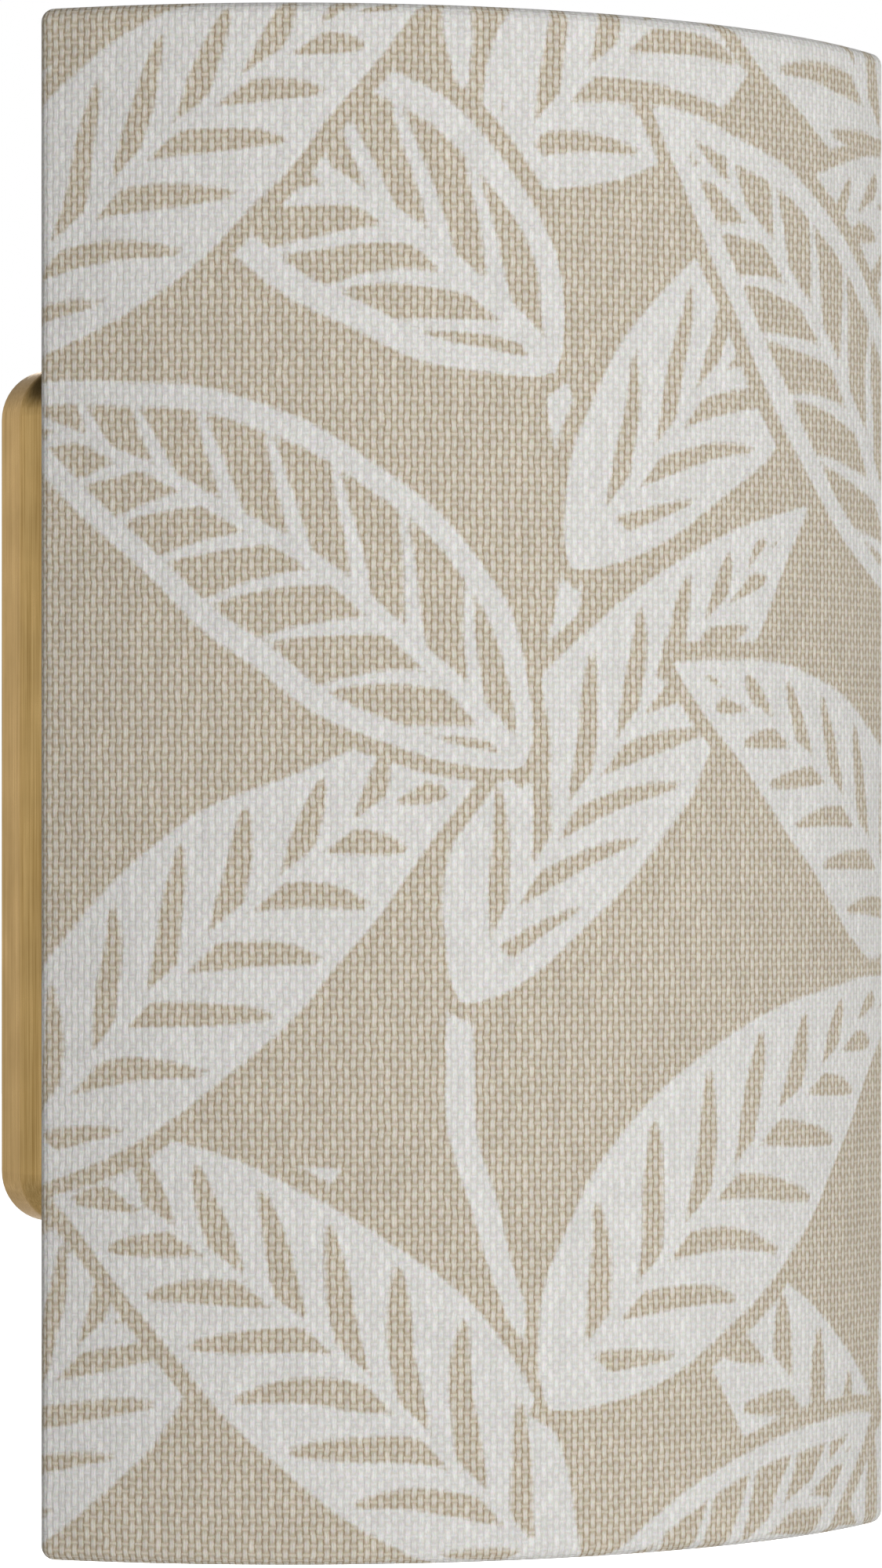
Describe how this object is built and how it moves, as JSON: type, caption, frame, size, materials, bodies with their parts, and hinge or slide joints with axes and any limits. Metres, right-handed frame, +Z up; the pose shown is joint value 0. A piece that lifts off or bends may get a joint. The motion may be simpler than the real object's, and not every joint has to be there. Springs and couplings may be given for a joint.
{
  "type": "wall light",
  "caption": "Wall light: a curved, open-sided cloth shade hangs on notched brass straps in front of a brushed brass backplate, with a candle lamp standing upright behind it.",
  "frame": {"origin": "middle of the brass backplate, on the wall", "axes": "+Y into the wall, so the light stands out of the wall towards -Y; +Z up; +X to the right of a viewer who faces the light"},
  "size_m": [0.1492, 0.0636, 0.25],
  "materials": {
    "brushed_brass": "satin, brushed lengthwise",
    "plain_brass": "machined",
    "zinc_steel": "zinc plated",
    "tinned_copper": "tinned",
    "bush_rubber": "matt",
    "block_nylon": "moulded, slightly translucent",
    "holder_plastic": "moulded, ivory white",
    "holder_ceramic": "glazed ceramic",
    "frame_enamel": "white powder coat",
    "printed_linen": null,
    "shade_liner_film": "white laminating film",
    "lamp_clear_glass": "clear",
    "nickel_plate": "nickel plated",
    "black_glass": "fused black glass",
    "solder": "soldered",
    "filament_phosphor": "phosphor coated",
    "wire_brown": "extruded",
    "wire_blue": "extruded",
    "wire_green_yellow": "extruded, green with a yellow stripe"
  },
  "bodies": {
    "mounting": {"backplate_cover": "brushed_brass", "cover_nuts": "brushed_brass", "upper_carrier": "brushed_brass", "lower_carrier": "brushed_brass", "arm_sleeve": "brushed_brass", "elbow_block": "brushed_brass", "check_ring": "brushed_brass", "carrier_screws": "brushed_brass", "rear_nipple": "plain_brass", "upper_nipple": "plain_brass", "thread_sleeve": "plain_brass", "centre_contact": "plain_brass", "earth_screw": "plain_brass", "wall_plate": "zinc_steel", "cover_studs": "zinc_steel", "rear_washer": "zinc_steel", "rear_locknut": "zinc_steel", "carrier_nuts": "zinc_steel", "earth_washer": "zinc_steel", "terminal_screws": "zinc_steel", "terminal_fixing_screw": "zinc_steel", "earth_tag": "tinned_copper", "cable_bush": "bush_rubber", "terminal_block": "block_nylon", "lampholder_base": "holder_plastic", "lampholder_skirt": "holder_plastic", "lampholder_core": "holder_ceramic", "live_wire": "wire_brown", "neutral_wire": "wire_blue", "earth_wire": "wire_green_yellow"},
    "shade": {"shade_fabric": "printed_linen", "shade_liner": "shade_liner_film", "upper_arc_wire": "frame_enamel", "lower_arc_wire": "frame_enamel", "left_side_wire": "frame_enamel", "right_side_wire": "frame_enamel", "upper_crossbar": "frame_enamel", "lower_crossbar": "frame_enamel", "hook_pins": "frame_enamel"},
    "lamp": {"lamp_glass": "lamp_clear_glass", "lamp_cap": "nickel_plate", "lamp_insulator": "black_glass", "lamp_contact": "solder", "lamp_stem": "lamp_clear_glass", "lamp_filaments": "filament_phosphor"}
  },
  "joints": [
    {"name": "shade_lift", "type": "slide", "parent": "mounting", "child": "shade", "axis": [0, 0, 1], "range_m": [0, 0.012]},
    {"name": "lamp_turn", "type": "hinge", "parent": "mounting", "child": "lamp", "pos_m": [0, -0.039, 0], "axis": [0, 0, 1], "range_deg": [0, 1080]}
  ]
}
